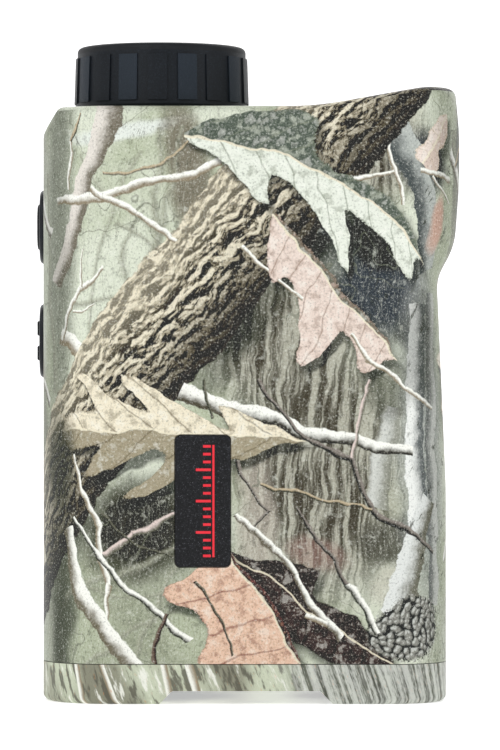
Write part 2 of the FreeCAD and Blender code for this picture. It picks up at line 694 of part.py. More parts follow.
def bezel_screws():
    seats = [Vector(FRONT_SCREW_X, side * FRONT_SCREW_Y, 3.6) for side in (-1, 1)]
    return Part.makeCompound([screw(seat, UP, 1.8, 1.1, 0.7, 11.0) for seat in seats])


# ---- fittings -----------------------------------------------------------------------------
def tripod_insert():
    """Brass 1/4"-20 insert, flush with the grip face, with two knurled bands."""
    face = FRONT_RIGHT_X
    body = rod_x(face - TRIPOD_LENGTH, face, 0, TRIPOD_Z, 4.4)
    groove = rod_x(face - 3.6, face - 2.8, 0, TRIPOD_Z, 6).cut(rod_x(face - 4, face - 2, 0, TRIPOD_Z, 3.9))
    return body.cut([groove, rod_x(face - 10, face + 1, 0, TRIPOD_Z, TRIPOD_BORE)])


def build():
    """Every node's solid by its name."""
    outer = rounded_casing()
    inner = casing(WALL, SHELL_Z - 3)
    return {
        "left_shell": shell_half(outer, inner, -1),
        "right_shell": shell_half(outer, inner, 1),
        "front_bezel": front_bezel(),
        "front_gasket": gasket_ring(0.02),
        "side_badge": badge_plate(0.0, -18.35, 0.0),
        "badge_scale": badge_scale(),
        "bezel_screws": bezel_screws(),
        "strap_pin": rod_y(STRAP_X, -5.6, 5.6, STRAP_Z, 0.9),
        "tripod_insert": tripod_insert(),
        "objective_barrel": objective_barrel(),
        "objective_retainer": ring(OPTIC_X, 4.4, 6.0, 11.5, 10.6),
        "objective_front_lens": lens(OPTIC_X, 11.45, 4.9, 11.0, 45, 40),
        "objective_rear_lens": lens(OPTIC_X, 11.45, 9.4, 13.0, 0, 0).cut(
            Part.makeSphere(40, Vector(OPTIC_X, 0, 11.06 - 40))
        ),
        "objective_seal": Part.makeTorus(12.68, 0.36, Vector(OPTIC_X, 0, 5.8), UP),
        "laser_barrel": laser_barrel(),
        "laser_retainer": ring(LASER_X, 4.4, 5.6, 7.5, 6.9),
        "laser_lens": lens(LASER_X, 7.45, 4.9, 10.1, 28, 0),
        "laser_seal": Part.makeTorus(8.68, 0.36, Vector(LASER_X, 0, 5.8), UP),
        "laser_diode": laser_diode(),
        "laser_board": laser_board(),
        "prism_housing": prism_housing(),
        "prism_cover": prism_cover(),
        "prism_clips": prism_clips(),
        "half_penta_prism": half_penta_prism(),
        "roof_prism": roof_prism(),
        "receiver_diode": receiver_diode(),
        "receiver_board": receiver_board(),
        "display_holder": display_holder(),
        "reticle_display": box(OPTIC_X - 7, OPTIC_X + 7, -7, 7, 73.05, 74.4),
        "display_flex": display_flex(),
        "eyepiece_barrel": eyepiece_barrel(),
        "ocular_cell": ocular_cell(),
        "field_lens": lens(OPTIC_X, 9.2, 93.6, 97.5, 25, 0),
        "field_retainer": ring(OPTIC_X, 93.2, 94.9, 9.25, 8.6),
        "eye_lens": lens(OPTIC_X, 9.2, 100.5, 104.9, 0, 22),
        "eye_retainer": ring(OPTIC_X, 103.5, 105.3, 9.25, 8.4),
        "cam_pin": rod_x(OPTIC_X + 9.4, OPTIC_X + 13.35, 0, CAM_Z, PIN_RADIUS),
        "diopter_ring": diopter_ring(),
        "eyecup": eyecup(),
        "ring_clip": ring_clip(),
        "power_key_surround": key_surround(POWER_Z),
        "mode_key_surround": key_surround(MODE_Z),
        "power_key": power_key(),
        "mode_key": mode_key(),
        "power_switch": switch_body(POWER_Z),
        "mode_switch": switch_body(MODE_Z),
        "power_switch_plunger": switch_plunger(POWER_Z),
        "mode_switch_plunger": switch_plunger(MODE_Z),
        "key_board": key_board(),
        "main_board": main_board(),
        "board_chips": board_chips(),
        "chassis_plate": chassis_plate(),
        "chassis_screws": chassis_screws(),
        "battery": battery(),
        "battery_tube": battery_tube(),
        "battery_spring": battery_spring(),
        "battery_cap": battery_cap(),
        "battery_cap_seal": battery_cap_seal(),
        "battery_cap_contact": cylinder(BATTERY_X, 0, 94.45, 94.95, 6.0),
    }


os.makedirs("parts", exist_ok=True)
for name, solid in build().items():
    if not solid.isValid():
        print("invalid:", name)
    solid.exportStep(f"parts/{name}.step")
    print(f"{name}: {len(solid.Solids)} solid(s), {solid.Volume:.1f} mm3")
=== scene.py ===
import json
import math

import bpy
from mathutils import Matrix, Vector


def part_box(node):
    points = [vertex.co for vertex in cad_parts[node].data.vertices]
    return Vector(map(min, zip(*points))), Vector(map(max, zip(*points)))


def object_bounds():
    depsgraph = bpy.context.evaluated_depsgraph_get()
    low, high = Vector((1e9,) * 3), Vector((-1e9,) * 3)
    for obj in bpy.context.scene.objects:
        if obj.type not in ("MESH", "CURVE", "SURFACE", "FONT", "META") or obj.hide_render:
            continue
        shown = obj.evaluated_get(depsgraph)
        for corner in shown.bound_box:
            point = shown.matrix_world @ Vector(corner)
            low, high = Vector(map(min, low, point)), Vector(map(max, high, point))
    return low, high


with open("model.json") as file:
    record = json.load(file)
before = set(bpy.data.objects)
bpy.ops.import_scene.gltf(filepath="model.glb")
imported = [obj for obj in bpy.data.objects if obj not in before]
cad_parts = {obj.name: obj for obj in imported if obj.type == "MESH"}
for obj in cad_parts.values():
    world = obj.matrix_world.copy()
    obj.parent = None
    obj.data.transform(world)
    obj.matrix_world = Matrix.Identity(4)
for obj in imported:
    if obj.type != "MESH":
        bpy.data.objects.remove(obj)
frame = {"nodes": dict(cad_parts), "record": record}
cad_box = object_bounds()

# The laser rangefinder stands on its objective end on a pale studio floor. Every visible part is a CAD
# node, so this script is materials, light and camera. Lengths in the print are in mm on the casing:
# s runs across the badge side from the keys to the grip, and t runs up from the floor.

MM = 0.001
CAMERA_DISTANCE = 0.68  # from the casing's middle plane
VIEW_HEIGHT = 0.1282  # what the picture's height takes in at that plane
SENSOR = 36.0

WRAP_START = 18.0  # the film starts to turn round the keys' side and the grip side at this x
WRAP_FULL = 25.0
FAR_TURN = 107.0  # on the far shell the sheet is upside down: t becomes this less t
FAR_SHIFT = 2.5  # and it is laid this much further along s
PAD_PITCH = 20.0  # degrees between the focusing ring's pads
PAD_START = 91.5
PAD_FACE = 14.78  # radius between the ring's slim wall and the face of a pad
PAD_LEAN = 0.03  # what that radius loses for each mm of height

low, high = (Vector(corner) for corner in cad_box)
centre = (low + high) / 2
shell_low, shell_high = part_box("left_shell")
bezel_top = shell_low.z / MM
half_width = high.y / MM
ring_low, ring_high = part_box("diopter_ring")
badge_low, badge_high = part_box("side_badge")


def colour(red, green, blue):
    """Linear RGBA from display values between 0 and 255."""
    shares = [c / 255 for c in (red, green, blue)]
    return tuple(((c + 0.055) / 1.055) ** 2.4 if c > 10 / 255 else c / 12.92 for c in shares) + (1,)


PALE_SAGE = colour(207, 214, 193)
SAGE = colour(176, 185, 156)
MOSS = colour(148, 155, 130)
DUSK = colour(112, 111, 97)
SHADOW = colour(66, 69, 60)
CHARCOAL = colour(42, 46, 45)
CREAM = colour(228, 219, 190)
TAN = colour(188, 170, 136)
BARK_LIGHT = colour(222, 214, 188)
BARK_MID = colour(142, 130, 106)
BARK_DARK = colour(42, 37, 31)
CHALK = colour(238, 239, 230)
BIRCH = colour(198, 201, 194)
BRANCH_SHADE = colour(110, 104, 90)
BOUGH_SHADE = colour(118, 112, 94)
RUST = colour(122, 62, 50)
UMBER = colour(66, 50, 44)
BLACK_PLASTIC = colour(12, 17, 23)
BLACK_RUBBER = colour(16, 19, 23)


# ---- arithmetic on shader nodes -----------------------------------------------------------
class Field:
    """A number or colour that varies over the surface: one output socket of a node."""

    def __init__(self, web, socket):
        self.web = web
        self.socket = socket

    def __add__(self, other):
        return self.web.math("ADD", self, other)

    def __sub__(self, other):
        return self.web.math("SUBTRACT", self, other)

    def __rsub__(self, other):
        return self.web.math("SUBTRACT", other, self)

    def __mul__(self, other):
        return self.web.math("MULTIPLY", self, other)

    def __truediv__(self, other):
        return self.web.math("DIVIDE", self, other)

    def __abs__(self):
        return self.web.math("ABSOLUTE", self)

    __radd__ = __add__
    __rmul__ = __mul__


class Web:
    """Builds one material's node tree as arithmetic on fields."""

    def __init__(self, tree):
        self.tree = tree

    def node(self, kind, **settings):
        new = self.tree.nodes.new("ShaderNode" + kind)
        for name, value in settings.items():
            setattr(new, name, value)
        return new

    def put(self, socket, value):
        if isinstance(value, Field):
            self.tree.links.new(value.socket, socket)
        else:
            socket.default_value = value

    def math(self, operation, *values):
        new = self.node("Math", operation=operation)
        for socket, value in zip(new.inputs, values):
            self.put(socket, value)
        return Field(self, new.outputs[0])

    def least(self, a, b):
        return self.math("MINIMUM", a, b)

    def step(self, start, end, value):
        """0 at start, 1 at end, smooth between; start may be above end."""
        new = self.node("MapRange", interpolation_type="SMOOTHSTEP")
        for name, given in (("Value", value), ("From Min", start), ("From Max", end)):
            self.put(new.inputs[name], given)
        return Field(self, new.outputs["Result"])

    def mix(self, below, above, share):
        """Colour above over colour below, by share."""
        new = self.node("Mix", data_type="RGBA")
        for socket, value in ((new.inputs[0], share), (new.inputs[6], below), (new.inputs[7], above)):
            self.put(socket, value)
        return Field(self, new.outputs[2])

    def split(self, vector):
        new = self.node("SeparateXYZ")
        self.put(new.inputs[0], vector)
        return [Field(self, output) for output in new.outputs]

    def point(self, x, y, z=0.0):
        new = self.node("CombineXYZ")
        for socket, value in zip(new.inputs, (x, y, z)):
            self.put(socket, value)
        return Field(self, new.outputs[0])

    def placed(self, vector, at, angle=0.0, size=(1.0, 1.0)):
        """The vector as seen from a place, a direction and a size, all in mm and degrees."""
        new = self.node("Mapping", vector_type="TEXTURE")
        self.put(new.inputs["Vector"], vector)
        new.inputs["Location"].default_value = (at[0], at[1], 0.0)
        new.inputs["Rotation"].default_value = (0.0, 0.0, math.radians(angle))
        new.inputs["Scale"].default_value = (size[0], size[1], 1.0)
        return Field(self, new.outputs[0])

    def noise(self, vector, scale, detail=2.0, roughness=0.5, flat=True):
        new = self.node("TexNoise", noise_dimensions="2D" if flat else "3D")
        self.put(new.inputs["Vector"], vector)
        new.inputs["Scale"].default_value = scale
        new.inputs["Detail"].default_value = detail
        new.inputs["Roughness"].default_value = roughness
        return Field(self, new.outputs["Fac"])

    def cells(self, vector, scale, feature="F1", flat=True, output="Distance"):
        new = self.node("TexVoronoi", voronoi_dimensions="2D" if flat else "3D", feature=feature)
        self.put(new.inputs["Vector"], vector)
        new.inputs["Scale"].default_value = scale
        return Field(self, new.outputs[output])

    def curve(self, points, value):
        """A line drawn through given (0..1, 0..1) points."""
        new = self.node("FloatCurve")
        line = new.mapping.curves[0]
        for _ in points[2:]:
            line.points.new(0.5, 0.5)
        for spot, (x, y) in zip(line.points, points):
            spot.location = (x, y)
        new.mapping.update()
        self.put(new.inputs["Value"], value)
        return Field(self, new.outputs["Value"])

    def lines(self, at, angle=0.0, size=(1.0, 1.0)):
        """The six numbers that turn film coordinates into along and across, as seen from a place."""
        cosine, sine = math.cos(math.radians(angle)), math.sin(math.radians(angle))
        along = (cosine / size[0], sine / size[0], -(at[0] * cosine + at[1] * sine) / size[0])
        across = (-sine / size[1], cosine / size[1], (at[0] * sine - at[1] * cosine) / size[1])
        return along + across

    def after(self, below, s, t):
        """The same place, reckoned only once the colour below is known, so few values are held at once."""
        new = self.node("RGBToBW")
        self.put(new.inputs[0], below)
        tone = Field(self, new.outputs[0])
        return self.math("MULTIPLY_ADD", tone, 1e-6, s), self.math("MULTIPLY_ADD", tone, 1e-6, t)

    def seen_from(self, s, t, numbers):
        """Along and across on plain numbers or fields."""
        along_s, along_t, along_0, across_s, across_t, across_0 = numbers
        along = self.math("MULTIPLY_ADD", s, along_s, self.math("MULTIPLY_ADD", t, along_t, along_0))
        across = self.math("MULTIPLY_ADD", s, across_s, self.math("MULTIPLY_ADD", t, across_t, across_0))
        return along, across

    def position(self):
        """Place on the object, in mm."""
        new = self.node("TexCoord")
        scaled = self.node("VectorMath", operation="SCALE")
        self.tree.links.new(new.outputs["Object"], scaled.inputs[0])
        scaled.inputs["Scale"].default_value = 1 / MM
        return Field(self, scaled.outputs[0])

    def normal(self):
        return Field(self, self.node("NewGeometry").outputs["Normal"])


def material(name, **constants):
    """A Principled material, its constant inputs set by name, and the web that builds the rest."""
    made = bpy.data.materials.new(name)
    made.use_nodes = True
    shader = made.node_tree.nodes["Principled BSDF"]
    for title, value in constants.items():
        shader.inputs[title.replace("_", " ")].default_value = value
    return made, shader, Web(made.node_tree)


def bump(web, shader, height, distance, strength=1.0):
    new = web.node("Bump")
    new.inputs["Distance"].default_value = distance * MM
    new.inputs["Strength"].default_value = strength
    web.put(new.inputs["Height"], height)
    web.tree.links.new(new.outputs["Normal"], shader.inputs["Normal"])


LINE_SOCKETS = ("Along S", "Along T", "Along 0", "Across S", "Across T", "Across 0")


def brush(name, numbers, tones, build):
    """A node group that paints one kind of thing over the colour below it."""
    tree = bpy.data.node_groups.new(name, "ShaderNodeTree")
    for title in ("Below",) + tones:
        tree.interface.new_socket(title, in_out="INPUT", socket_type="NodeSocketColor")
    for title in ("S", "T", "Mottle") + LINE_SOCKETS + numbers:
        tree.interface.new_socket(title, in_out="INPUT", socket_type="NodeSocketFloat")
    tree.interface.new_socket("Picture", in_out="OUTPUT", socket_type="NodeSocketColor")
    web = Web(tree)
    entry = tree.nodes.new("NodeGroupInput")
    given = {socket.name: Field(web, socket) for socket in entry.outputs if socket.name}
    place = web.after(given["Below"], given["S"], given["T"])
    given["line"] = web.seen_from(*place, [given[title] for title in LINE_SOCKETS])
    painted = build(web, given)
    web.tree.links.new(painted.socket, tree.nodes.new("NodeGroupOutput").inputs["Picture"])
    return tree


def build_zone(web, given):
    """Soft oval of one tone."""
    along, across = given["line"]
    inside = web.step(1.3, given["Edge"], along * along + across * across)
    return web.mix(given["Below"], given["Tone"], inside * given["Strength"])


def build_twig(web, given):
    """Tapering branch, bent sideways and lit on one side."""
    along, across = given["line"]
    length = given["Length"]
    across = across + along * (length - along) * given["Bend"]
    half = web.math("MULTIPLY_ADD", along, given["Taper"], given["Half"])
    half = half * web.math("MULTIPLY_ADD", given["Mottle"], 0.6, 0.7)
    blur = given["Blur"]
    mask = web.step(web.math("MULTIPLY", blur, -1.0), blur, half - abs(across))
    middle = length * 0.5
    mask = mask * web.math("COMPARE", along, middle, middle) * given["Strength"]
    rim = web.step(-0.75, 0.55, across * given["Lit side"] / half + given["Mottle"] - 0.5)
    return web.mix(given["Below"], web.mix(given["Shade"], given["Lit"], rim), mask)


# ---- the woodland print -------------------------------------------------------------------
class Print(Web):
    """The film on the casing: a picture of a wood, painted back to front."""

    def __init__(self, tree, brushes):
        super().__init__(tree)
        self.brushes = brushes
        self.picture = None

    def set_out(self, s, t, ripple=3.4):
        """Shared coordinates and noises, all in mm on the film. Everything painted waits for them."""
        self.flat = self.point(s, t)
        drift = self.noise(self.flat, 0.11, 3.0)
        sway = self.noise(self.placed(self.flat, (61.0, -37.0)), 0.11, 3.0)
        across, up = s + (drift - 0.5) * ripple, t + (sway - 0.5) * ripple
        self.wander = self.point(across, up)
        self.mottle = self.noise(self.flat, 0.55, 4.0, 0.62)
        self.fleck = self.noise(self.flat, 2.6, 3.0, 0.6)
        self.grain = self.noise(self.flat, 9.0, 2.0, 0.7)
        self.haze = self.noise(self.flat, 0.06, 3.0)
        self.streaks = self.noise(self.placed(self.wander, (0, 0), -4, (0.55, 7.5)), 0.55, 4.0, 0.6)
        self.near = self.noise(self.placed(self.wander, (0, 0), 47, (2.7, 1.1)), 0.7, 4.0, 0.62)
        self.far = self.noise(self.placed(self.wander, (0.3, -0.5), 47, (2.7, 1.1)), 0.7, 4.0, 0.62)
        self.plates = self.cells(self.placed(self.wander, (0, 0), 47, (2.6, 1.3)), 0.62, "DISTANCE_TO_EDGE")
        self.knobs = self.cells(self.wander, 0.95)
        self.knobs_beyond = self.cells(self.placed(self.wander, (0.3, -0.3)), 0.95)
        self.s = across + self.near * 0.001
        self.t = up + self.streaks * 0.001

    def placed_from(self, at, angle=0.0, size=(1.0, 1.0)):
        return self.seen_from(*self.after(self.picture, self.s, self.t), self.lines(at, angle, size))

    def lay(self, above, share):
        self.picture = above if self.picture is None else self.mix(self.picture, above, share)

    def paint(self, kind, lines, **given):
        """One stroke with a brush."""
        stroke = self.tree.nodes.new("ShaderNodeGroup")
        stroke.node_tree = self.brushes[kind]
        given.update(Below=self.picture, S=self.s, T=self.t, Mottle=self.mottle)
        given.update(zip(LINE_SOCKETS, lines))
        for title, value in given.items():
            self.put(stroke.inputs[title.replace("_", " ")], value)
        self.picture = Field(self, stroke.outputs["Picture"])

    def zone(self, tone, at, size, angle=0.0, strength=1.0, edge=0.15):
        """Soft oval of one tone, as something far behind and out of focus."""
        self.paint("zone", self.lines(at, angle, size), Tone=tone, Strength=strength, Edge=edge)

    def twig(self, start, end, width, tip=None, bend=0.0, lit=CHALK, shade=BARK_MID, blur=0.12, strength=1.0):
        """Branch between two points, lit from above, bending sideways by bend mm at its middle."""
        run, rise = end[0] - start[0], end[1] - start[1]
        length = math.hypot(run, rise)
        tip = width * 0.6 if tip is None else tip
        self.paint(
            "twig",
            self.lines(start, math.degrees(math.atan2(rise, run))),
            Lit=lit,
            Shade=shade,
            Length=length,
            Half=width / 2,
            Taper=(tip - width) / 2 / length,
            Bend=4 * bend / length**2,
            Blur=blur,
            Strength=strength,
            Lit_side=-1.0 if run < 0 else 1.0,
        )

    def bark(self, ridge, groove):
        """Furrowed bark, lit from one side: the tone at a place less the tone a little further on."""
        relief = (self.near - self.far) * 5.0
        tone = self.mix(groove, ridge, self.step(0.36, 0.54, self.near))
        tone = self.mix(tone, groove, self.step(0.12, 0.02, self.plates) * 0.75)
        tone = self.mix(tone, BARK_LIGHT, self.step(0.05, 0.6, relief) * 0.9)
        return self.mix(tone, groove, self.step(-0.05, -0.55, relief))

    def trunk(self, start, end, width):
        """The great diagonal trunk: bright above, in its own shade below."""
        run, rise = end[0] - start[0], end[1] - start[1]
        _, across = self.placed_from(start, math.degrees(math.atan2(rise, run)))
        half = self.math("MULTIPLY_ADD", self.mottle - 0.5, 1.6, width / 2)
        around = across / half
        surface = self.bark(colour(178, 168, 142), BARK_DARK)
        surface = self.mix(surface, CREAM, self.step(0.0, 0.9, around) * 0.3)
        underside = self.step(0.1, -0.95, around + (self.fleck - 0.5) * 0.5)
        surface = self.mix(surface, BARK_DARK, underside * 0.93)
        self.lay(surface, self.step(-0.15, 0.15, half - abs(across)))

    def blade(self, base, tip, upper, lower, sweep, bow=0.0, broad=1.0, shift=(0.0, 0.0)):
        """How far a place is inside a lobed leaf, in mm, with its place along and across the midrib."""
        run, rise = tip[0] - base[0], tip[1] - base[1]
        length = math.hypot(run, rise)
        start = (base[0] + shift[0], base[1] + shift[1])
        along, across = self.placed_from(start, math.degrees(math.atan2(rise, run)))
        if bow:
            across = across - along * (length - along) * (4 * bow / length**2)
        swept = self.math("MULTIPLY_ADD", abs(across), -sweep, along) / length
        reach = length * 0.5 * broad
        rough = (self.fleck - 0.5) * 0.9
        above = self.math("MULTIPLY_ADD", self.curve(upper, swept), reach, rough) - across
        below = self.math("MULTIPLY_ADD", self.curve(lower, swept), reach, rough) + across
        return self.least(above, below), swept, across

    def leaf(self, shape, light, dark, rib, veins=9, cast=(0.9, -1.4), split=0.0):
        """A curled dead leaf: one half in the light, the other in shade, over its own cast shadow."""
        under, _, _ = self.blade(shift=cast, **shape)
        self.lay(CHARCOAL, self.step(-1.2, 0.9, under) * 0.75)
        depth, swept, across = self.blade(**shape)
        surface = self.mix(light, dark, self.step(split - 0.2, split + 0.2, across))
        surface = self.mix(surface, self.mix(light, rib, 0.6), self.step(0.5, 0.68, self.mottle) * 0.75)
        surface = self.mix(surface, CHALK, self.step(0.47, 0.33, self.mottle) * 0.3)
        stripe = self.math("PINGPONG", swept * veins, 0.5)
        vein = self.step(0.06, 0.0, stripe) * self.step(-0.2, 0.6, self.mottle)
        surface = self.mix(surface, rib, vein * 0.65)
        surface = self.mix(surface, rib, self.step(0.6, 0.0, depth) * 0.55)
        surface = self.mix(surface, CREAM, self.step(0.24, 0.1, abs(across)) * 0.8)
        self.lay(surface, self.step(0.0, 0.16, depth))

    def tangle(self, tone, field, middle, width, share):
        """Fine wandering lines where a noise crosses one value."""
        self.lay(tone, self.step(width, width * 0.35, abs(field - middle)) * share)

    def distance_behind(self):
        """Everything out of focus: the pale sky between trunks, thickets and far twigs."""
        self.lay(self.mix(PALE_SAGE, SAGE, self.step(0.38, 0.66, self.haze)), 1.0)
        self.zone(colour(152, 158, 141), (-35.0, 80.0), (5.5, 32.0))
        self.zone(colour(216, 223, 214), (-21.0, 95.5), (12.0, 1.6), 8)
        self.zone(MOSS, (-16.0, 14.0), (28.0, 18.0), 0, 0.8)
        self.zone(colour(126, 120, 104), (-9.5, 87.0), (4.5, 17.0), 12, 0.95)
        self.zone(colour(78, 84, 71), (-34.0, 35.0), (9.0, 14.0))
        self.zone(colour(66, 66, 58), (-18.0, 29.5), (12.0, 9.5), 20)
        self.zone(colour(96, 102, 88), (-33.5, 12.0), (5.0, 14.0), 0, 0.9)
        self.zone(SAGE, (-27.0, 11.0), (5.0, 6.0), -30, 0.8)
        self.zone(SAGE, (-8.0, 13.0), (5.5, 7.0), -20, 0.8)
        thicket = self.mix(colour(84, 80, 70), colour(172, 171, 154), self.step(0.36, 0.66, self.streaks))
        self.zone(thicket, (12.0, 40.0), (17.0, 27.0), 4)
        self.zone(thicket, (5.0, 61.0), (14.0, 11.0), 30)
        self.zone(colour(182, 172, 158), (1.5, 30.0), (3.5, 13.0), 0, 0.6)
        self.zone(colour(84, 83, 76), (24.0, 27.0), (7.0, 5.0), -10, 0.85)
        self.zone(colour(150, 106, 98), (11.0, 25.0), (6.0, 3.0), -15, 0.45)
        self.zone(thicket, (20.0, 93.0), (12.0, 12.0))
        self.zone(colour(62, 64, 60), (-2.5, 63.0), (6.5, 5.5), 45, 0.9)
        self.zone(colour(56, 61, 63), (9.5, 78.5), (8.0, 6.5), -30)
        self.zone(colour(74, 80, 86), (22.5, 69.0), (11.5, 10.0), -35)
        self.zone(CHARCOAL, (21.0, 77.5), (7.5, 5.0), -30)
        self.zone(CHARCOAL, (29.0, 60.5), (5.0, 3.2), -35, 0.9)
        self.zone(colour(70, 74, 80), (30.0, 90.0), (6.5, 6.0), -20)
        self.zone(colour(152, 157, 156), (31.5, 45.0), (7.0, 34.0), 0, 0.8)
        self.zone(colour(188, 188, 170), (24.0, 19.5), (4.5, 3.5), 10, 0.9)
        far = dict(lit=colour(164, 167, 146), shade=colour(136, 138, 122), blur=0.5, strength=0.8)
        for start, end, width, bend in (
            ((-21.0, 62.0), (-11.0, 96.0), 1.0, 1.5),
            ((-27.0, 60.0), (-17.5, 92.0), 0.8, -2.0),
            ((-31.0, 67.0), (-9.0, 71.0), 0.9, 1.0),
            ((-22.0, 80.0), (-9.5, 66.0), 0.8, -2.0),
            ((-16.5, 60.0), (-15.0, 96.0), 1.4, 0.5),
            ((-29.0, 92.0), (-10.0, 76.0), 0.7, 1.5),
            ((-19.5, 70.0), (-17.0, 82.0), 0.8, -2.4),
            ((-33.0, 18.0), (-8.0, 29.0), 1.2, 1.0),
            ((-28.0, 6.0), (-3.0, 19.0), 0.9, -1.0),
            ((-20.0, 5.0), (-12.0, 24.0), 1.0, 0.5),
            ((-31.0, 20.0), (-12.0, 18.0), 0.7, 1.0),
            ((-40.0, 88.0), (-36.0, 52.0), 1.6, 1.0),
            ((-48.0, 70.0), (-38.0, 20.0), 2.4, -2.0),
            ((40.0, 96.0), (48.0, 20.0), 3.0, 2.0),
        ):
            self.twig(start, end, width, bend=bend, **far)
        self.tangle(colour(120, 124, 108), self.haze, 0.5, 0.006, 0.6)
        self.tangle(colour(96, 94, 82), self.streaks, 0.47, 0.010, 0.55)
        self.tangle(colour(206, 208, 192), self.streaks, 0.56, 0.008, 0.5)
        self.lay(colour(74, 76, 66), self.step(0.56, 0.78, self.mottle) * 0.45)
        self.lay(colour(222, 226, 212), self.step(0.42, 0.24, self.mottle) * 0.35)

    def birches(self):
        """Pale trunks on the right and at the upper left."""
        side = dict(lit=colour(226, 229, 224), shade=colour(104, 110, 110))
        dim = dict(lit=colour(176, 182, 176), shade=colour(90, 96, 96))
        self.twig((21.0, 101.0), (32.5, 72.0), 5.5, 4.2, -2.2, **dim)
        self.twig((24.5, 50.0), (22.0, 33.0), 3.0, 3.4, 0.3, lit=BIRCH, shade=colour(150, 152, 140), blur=0.5)
        self.twig((30.5, 66.0), (30.0, 28.0), 4.6, 5.0, 1.2, **side)
        self.twig((34.5, 68.0), (34.5, 16.0), 3.0, 3.4, 0.8, lit=BIRCH, shade=colour(116, 120, 118))
        self.twig((23.8, 98.5), (26.0, 83.0), 0.9, 0.7, 0.6)
        self.twig((32.5, 34.0), (25.5, 15.0), 4.0, 6.5, 1.0, lit=colour(214, 218, 214), shade=DUSK)
        self.lay(SHADOW, self.step(0.62, 0.72, self.near) * self.step(26.5, 28.0, self.s) * 0.8)
        self.zone(SHADOW, (31.0, 59.0), (6.0, 10.0), 0, 0.5)
        self.zone(SHADOW, (23.5, 52.0), (4.5, 5.0), 0, 0.55)

    def middle_wood(self):
        """The trunk and the branches around it."""
        grey = dict(lit=colour(216, 210, 200), shade=colour(122, 116, 102))
        self.twig((-35.0, 61.5), (-25.0, 56.5), 2.6, 2.6, 0.0)
        self.twig((-8.0, 52.5), (12.0, 77.5), 6.0, 6.0, 0.0, lit=SHADOW, shade=SHADOW, blur=1.2, strength=0.5)
        self.trunk((-40.0, 31.2), (23.0, 106.8), 19.0)
        self.twig((-22.0, 101.5), (-26.8, 88.5), 5.0, 4.2, -0.5, **grey)
        self.twig((-26.8, 89.0), (-36.0, 70.0), 4.2, 3.2, -0.5, **grey)
        self.twig((-36.0, 83.0), (-4.0, 90.0), 1.3, 1.7, 0.9)
        self.twig((-26.0, 85.7), (-12.0, 77.0), 1.1, 0.7, -0.5)
        self.twig((-23.0, 88.2), (-9.2, 94.2), 0.55, 0.5, 2.0, lit=TAN, shade=DUSK)
        self.twig((-34.5, 60.5), (-28.6, 70.0), 1.0, 0.9, -0.6)
        self.twig((-28.8, 69.8), (-23.3, 72.8), 0.9, 0.7, 0.5)
        self.twig((-28.6, 70.0), (-28.3, 75.8), 0.7, 0.35, -0.4)
        self.twig((-31.9, 85.0), (-31.6, 94.0), 0.8, 0.7, 0.2)
        self.twig((-31.7, 93.6), (-29.2, 98.6), 0.7, 0.5, 0.3, lit=TAN, shade=SHADOW)
        self.twig((-31.0, 65.6), (-25.5, 66.6), 0.5, 0.35, 0.2)
        self.twig((-0.6, 76.2), (3.8, 71.8), 0.7, 0.6, 0.0)
        self.twig((17.7, 87.7), (24.5, 88.6), 0.7, 0.6, 0.2)
        self.twig((-11.0, 52.0), (1.5, 48.4), 3.4, 3.0, 0.3, shade=colour(92, 88, 76))
        self.twig((0.8, 48.6), (28.5, 41.5), 3.0, 1.9, 0.7, shade=colour(70, 68, 60))

    def fallen_leaves(self):
        """Oak leaves. Each half outline goes from the stalk to the tip."""
        slim = ((0, 0.04), (0.3, 0.06), (0.7, 0.07), (1, 0))
        cream = dict(
            base=(9.9, 44.2),
            tip=(-34.5, 45.8),
            upper=((0, 0), (0.06, 0.06), (0.14, 0.2), (0.22, 0.18), (0.35, 0.52), (0.42, 0.2), (0.5, 0.12),
                   (0.62, 0.35), (0.7, 0.12), (0.85, 0.14), (1, 0)),
            lower=((0, 0), (0.1, 0.1), (0.17, 0.24), (0.25, 0.06), (0.36, 0.24), (0.45, 0.42), (0.5, 0.16),
                   (0.57, 0.28), (0.63, 0.44), (0.72, 0.15), (0.85, 0.12), (1, 0)),
            sweep=1.2,
        )
        self.leaf(cream, colour(226, 216, 188), colour(158, 148, 120), colour(112, 100, 76), 7)
        self.zone(SHADOW, (-35.0, 40.0), (6.0, 8.0), 0, 0.85)
        pale = dict(
            base=(-9.2, 94.3),
            tip=(31.4, 73.0),
            upper=((0, 0.2), (0.05, 0.3), (0.2, 0.34), (0.33, 0.16), (0.45, 0.06), (0.6, 0.1), (0.85, 0.06),
                   (1, 0)),
            lower=((0, 0.05), (0.1, 0.22), (0.18, 0.38), (0.24, 0.17), (0.34, 0.2), (0.49, 0.52),
                   (0.54, 0.17), (0.7, 0.16), (0.85, 0.22), (0.93, 0.06), (1, 0)),
            sweep=0.9,
            bow=5.0,
        )
        self.leaf(pale, colour(218, 224, 210), colour(92, 102, 92), colour(128, 136, 116), 9)
        rosy = dict(
            base=(4.4, 81.4),
            tip=(25.0, 57.2),
            upper=slim,
            lower=((0, 0.1), (0.08, 0.4), (0.16, 0.48), (0.25, 0.31), (0.4, 0.6), (0.49, 0.82), (0.6, 0.31),
                   (0.72, 0.3), (0.84, 0.36), (0.93, 0.1), (1, 0)),
            sweep=0.5,
        )
        self.leaf(rosy, colour(220, 201, 188), DUSK, colour(148, 120, 102), 8)
        brown = dict(
            base=(-4.0, 26.0),
            tip=(24.5, 6.0),
            upper=((0, 0), (0.15, 0.12), (0.36, 0.34), (0.46, 0.16), (0.7, 0.2), (1, 0)),
            lower=((0, 0.1), (0.3, 0.3), (0.6, 0.32), (0.8, 0.24), (1, 0)),
            sweep=0.4,
        )
        self.leaf(brown, colour(78, 60, 54), colour(70, 54, 48), BARK_DARK, 6)
